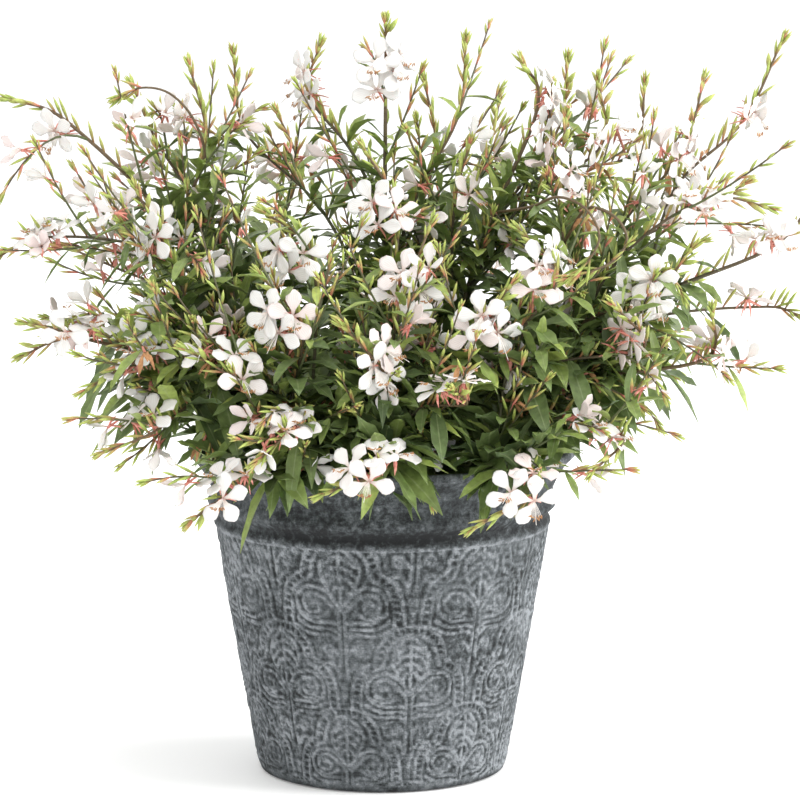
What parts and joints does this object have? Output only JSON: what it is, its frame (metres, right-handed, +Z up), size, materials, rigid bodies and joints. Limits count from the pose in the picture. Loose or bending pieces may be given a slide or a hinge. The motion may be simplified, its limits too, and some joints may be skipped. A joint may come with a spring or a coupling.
{
  "type": "potted gaura",
  "caption": "Bushy gaura with long arching wands, slim leaves, pointed buds and white butterfly-like blooms, in a round flared pot of weathered stone colour, filled with soil.",
  "frame": {"origin": "middle of the pot's foot, on the surface that it stands on", "axes": "+Z up along the pot's axis, -Y towards the front of the plant, +X to the right seen from the front"},
  "size_m": [0.4278, 0.3225, 0.3976],
  "materials": {
    "pot": "matte, weathered",
    "soil": "crumbly",
    "stem": "satin",
    "bloom": "satin"
  },
  "bodies": {
    "root": {"pot": "pot", "soil": "soil", "stem_01": "stem", "stem_02": "stem", "stem_03": "stem", "stem_04": "stem", "stem_05": "stem", "stem_06": "stem", "stem_07": "stem", "stem_08": "stem", "stem_09": "stem", "stem_10": "stem", "stem_11": "stem", "stem_12": "stem", "blooms_01": "bloom", "blooms_02": "bloom", "blooms_03": "bloom", "blooms_04": "bloom", "blooms_05": "bloom", "blooms_06": "bloom", "blooms_07": "bloom", "blooms_08": "bloom", "blooms_09": "bloom", "blooms_10": "bloom", "blooms_11": "bloom", "blooms_12": "bloom", "blooms_13": "bloom", "blooms_14": "bloom", "blooms_15": "bloom", "blooms_16": "bloom", "blooms_17": "bloom", "blooms_18": "bloom", "blooms_19": "bloom", "blooms_20": "bloom", "blooms_21": "bloom", "blooms_22": "bloom", "blooms_23": "bloom", "blooms_24": "bloom", "blooms_25": "bloom", "blooms_26": "bloom", "blooms_27": "bloom", "blooms_28": "bloom", "blooms_29": "bloom", "blooms_30": "bloom", "blooms_31": "bloom", "blooms_32": "bloom", "blooms_33": "bloom", "blooms_34": "bloom", "blooms_35": "bloom", "blooms_36": "bloom", "blooms_37": "bloom", "blooms_38": "bloom", "blooms_39": "bloom", "blooms_40": "bloom", "blooms_41": "bloom", "blooms_42": "bloom", "blooms_43": "bloom", "blooms_44": "bloom", "blooms_45": "bloom", "blooms_46": "bloom"}
  },
  "joints": []
}
